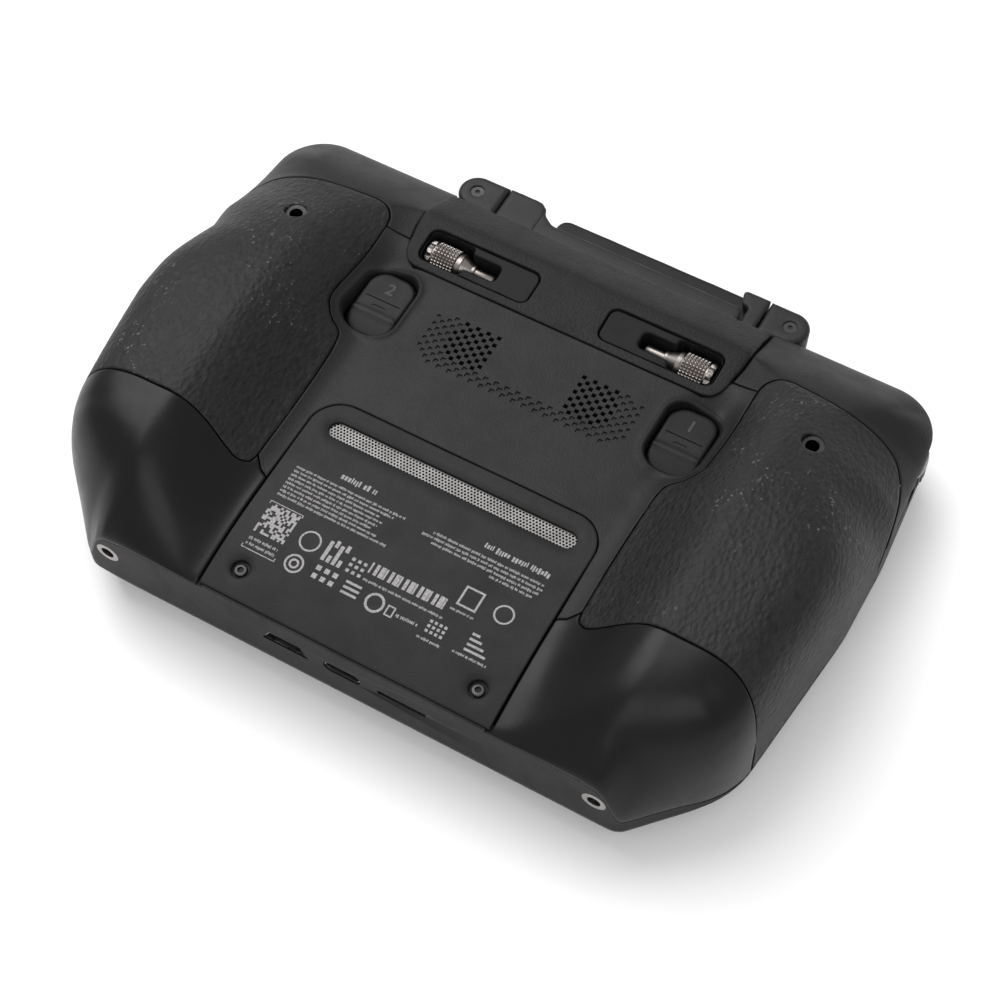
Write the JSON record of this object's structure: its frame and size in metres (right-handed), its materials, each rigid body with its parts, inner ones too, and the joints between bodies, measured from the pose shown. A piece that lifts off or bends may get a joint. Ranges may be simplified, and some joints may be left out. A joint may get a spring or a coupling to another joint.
{
  "type": "radio transmitter controller",
  "caption": "Handheld radio transmitter with a built-in screen, rubber grips, folding antennas, gimbal stubs and control sticks stowed in a bay on its back.",
  "frame": {"origin": "under the middle of the controller's bounding box, on the plane of the screen bezel that it rests on", "axes": "+Z out of the back, +Y towards the antenna edge, +X right as seen from the back"},
  "size_m": [0.1832, 0.1374, 0.0476],
  "materials": {
    "frame_plastic": "satin",
    "center_plastic": "fine grain",
    "bay_plastic": "grain",
    "liner_silicone": "smooth",
    "grip_rubber": "leather grain",
    "swell_plastic": "satin",
    "shoulder_plastic": "fine grain",
    "label_film": "fine grain with print",
    "mesh_steel": "perforated",
    "screw_steel": "blackened",
    "insert_steel": "nickel",
    "screen_glass": "gloss",
    "display": "gloss",
    "chassis_alloy": "cast",
    "board": "solder mask",
    "cell_wrap": "film",
    "fan_plastic": "moulded",
    "speaker_plastic": "moulded",
    "port_steel": "nickel",
    "antenna_plastic": "satin",
    "gimbal_plastic": "moulded",
    "gimbal_alloy": "machined",
    "stub_plastic": "satin",
    "dial_plastic": "ribbed",
    "rim_metal": "satin chrome",
    "stick_alloy": "knurled, nickel",
    "button_plastic": "satin",
    "joint_alloy": "machined"
  },
  "bodies": {
    "housing": {"antenna_mount_left": "frame_plastic", "antenna_mount_right": "frame_plastic", "antenna_screws": "screw_steel", "battery_cells": "cell_wrap", "bay_cover": "bay_plastic", "button_board": "board", "card_reader": "port_steel", "display_panel": "display", "exhaust_mesh": "mesh_steel", "fan_housing": "fan_plastic", "front_frame": "frame_plastic", "gimbal_frame_left": "gimbal_plastic", "gimbal_frame_right": "gimbal_plastic", "grip_inserts": "insert_steel", "grip_left": "grip_rubber", "grip_right": "grip_rubber", "hdmi_socket": "port_steel", "heat_sink": "chassis_alloy", "label_plate": "label_film", "label_screws": "screw_steel", "main_board": "board", "mid_chassis": "chassis_alloy", "palm_swell_left": "swell_plastic", "palm_swell_right": "swell_plastic", "rail_inserts": "insert_steel", "rear_center_shell": "center_plastic", "screen_glass": "screen_glass", "shoulder_left": "shoulder_plastic", "shoulder_right": "shoulder_plastic", "speaker": "speaker_plastic", "stick_liner_left": "liner_silicone", "stick_liner_right": "liner_silicone", "usb_socket": "port_steel"},
    "antenna_left": {"antenna_base_left": "antenna_plastic", "antenna_blade_left": "antenna_plastic"},
    "stowed_stick_left": {"stick_left": "stick_alloy"},
    "custom_key_left": {"custom_button_left": "button_plastic"},
    "gimbal_outer_left": {"gimbal_ring_left": "gimbal_alloy"},
    "gimbal_inner_left": {"gimbal_stub_left": "stub_plastic"},
    "thumb_dial_left": {"dial_left": "dial_plastic", "dial_rim_left": "rim_metal"},
    "antenna_right": {"antenna_base_right": "antenna_plastic", "antenna_blade_right": "antenna_plastic"},
    "stowed_stick_right": {"stick_right": "stick_alloy"},
    "custom_key_right": {"custom_button_right": "button_plastic"},
    "gimbal_outer_right": {"gimbal_ring_right": "gimbal_alloy"},
    "gimbal_inner_right": {"gimbal_stub_right": "stub_plastic"},
    "thumb_dial_right": {"dial_right": "dial_plastic", "dial_rim_right": "rim_metal"},
    "record_key": {"record_button": "button_plastic"},
    "shutter_key": {"shutter_button": "button_plastic"},
    "home_key": {"home_button": "button_plastic"},
    "pause_key": {"pause_button": "button_plastic"},
    "back_key": {"back_button": "button_plastic"},
    "power_key": {"power_button": "button_plastic"},
    "mode_slider": {"mode_switch": "button_plastic"},
    "five_way_outer": {"five_way_yoke": "joint_alloy"},
    "five_way_inner": {"five_way_cross": "joint_alloy"},
    "five_way_key": {"five_way_cap": "button_plastic"},
    "fan": {"fan_rotor": "fan_plastic"}
  },
  "joints": [
    {"name": "antenna_left_swing", "type": "hinge", "parent": "housing", "child": "antenna_left", "pos_m": [-0.0413, 0.0636, 0], "axis": [0, 0, 1], "range_deg": [0, 90]},
    {"name": "stowed_stick_left_lift", "type": "slide", "parent": "housing", "child": "stowed_stick_left", "axis": [0, 0, 1], "range_m": [0, 0.02]},
    {"name": "custom_key_left_press", "type": "slide", "parent": "housing", "child": "custom_key_left", "axis": [0, 0, -1], "range_m": [0, 0.0008], "stiffness_N_per_m": 1500},
    {"name": "gimbal_left_pitch", "type": "hinge", "parent": "housing", "child": "gimbal_outer_left", "pos_m": [-0.057, 0.033, 0.0187], "axis": [1, 0, 0], "range_deg": [-20, 20], "stiffness_Nm_per_rad": 0.04},
    {"name": "gimbal_left_roll", "type": "hinge", "parent": "gimbal_outer_left", "child": "gimbal_inner_left", "pos_m": [-0.057, 0.033, 0.0187], "axis": [0, 1, 0], "range_deg": [-20, 20], "stiffness_Nm_per_rad": 0.04},
    {"name": "thumb_dial_left_turn", "type": "hinge", "parent": "housing", "child": "thumb_dial_left", "pos_m": [-0.0808, 0.0425, 0.016], "axis": [0, 0, 1], "range_deg": [-30, 30], "stiffness_Nm_per_rad": 0.02},
    {"name": "antenna_right_swing", "type": "hinge", "parent": "housing", "child": "antenna_right", "pos_m": [0.0457, 0.0636, 0], "axis": [0, 0, -1], "range_deg": [0, 90]},
    {"name": "stowed_stick_right_lift", "type": "slide", "parent": "housing", "child": "stowed_stick_right", "axis": [0, 0, 1], "range_m": [0, 0.02]},
    {"name": "custom_key_right_press", "type": "slide", "parent": "housing", "child": "custom_key_right", "axis": [0, 0, -1], "range_m": [0, 0.0008], "stiffness_N_per_m": 1500},
    {"name": "gimbal_right_pitch", "type": "hinge", "parent": "housing", "child": "gimbal_outer_right", "pos_m": [0.057, 0.033, 0.0187], "axis": [1, 0, 0], "range_deg": [-20, 20], "stiffness_Nm_per_rad": 0.04},
    {"name": "gimbal_right_roll", "type": "hinge", "parent": "gimbal_outer_right", "child": "gimbal_inner_right", "pos_m": [0.057, 0.033, 0.0187], "axis": [0, 1, 0], "range_deg": [-20, 20], "stiffness_Nm_per_rad": 0.04},
    {"name": "thumb_dial_right_turn", "type": "hinge", "parent": "housing", "child": "thumb_dial_right", "pos_m": [0.0808, 0.0425, 0.016], "axis": [0, 0, 1], "range_deg": [-30, 30], "stiffness_Nm_per_rad": 0.02},
    {"name": "record_key_press", "type": "slide", "parent": "housing", "child": "record_key", "axis": [0, -1, 0], "range_m": [0, 0.0008], "stiffness_N_per_m": 1500},
    {"name": "shutter_key_press", "type": "slide", "parent": "housing", "child": "shutter_key", "axis": [0, -1, 0], "range_m": [0, 0.0008], "stiffness_N_per_m": 1500},
    {"name": "home_key_press", "type": "slide", "parent": "housing", "child": "home_key", "axis": [0, 0, 1], "range_m": [0, 0.0006], "stiffness_N_per_m": 1500},
    {"name": "pause_key_press", "type": "slide", "parent": "housing", "child": "pause_key", "axis": [0, 0, 1], "range_m": [0, 0.0006], "stiffness_N_per_m": 1500},
    {"name": "back_key_press", "type": "slide", "parent": "housing", "child": "back_key", "axis": [0, 0, 1], "range_m": [0, 0.0006], "stiffness_N_per_m": 1500},
    {"name": "power_key_press", "type": "slide", "parent": "housing", "child": "power_key", "axis": [0, 0, 1], "range_m": [0, 0.0006], "stiffness_N_per_m": 1500},
    {"name": "mode_slider_move", "type": "slide", "parent": "housing", "child": "mode_slider", "axis": [1, 0, 0], "range_m": [-0.004, 0.004]},
    {"name": "five_way_pitch", "type": "hinge", "parent": "housing", "child": "five_way_outer", "pos_m": [0, 0.028, 0.0078], "axis": [1, 0, 0], "range_deg": [-6, 6], "stiffness_Nm_per_rad": 0.05},
    {"name": "five_way_roll", "type": "hinge", "parent": "five_way_outer", "child": "five_way_inner", "pos_m": [0, 0.028, 0.0078], "axis": [0, 1, 0], "range_deg": [-6, 6], "stiffness_Nm_per_rad": 0.05},
    {"name": "five_way_press", "type": "slide", "parent": "five_way_inner", "child": "five_way_key", "axis": [0, 0, 1], "range_m": [0, 0.0006], "stiffness_N_per_m": 1500},
    {"name": "fan_spin", "type": "hinge", "parent": "housing", "child": "fan", "pos_m": [0, 0.005, 0.02], "axis": [0, 0, 1], "continuous": true}
  ]
}
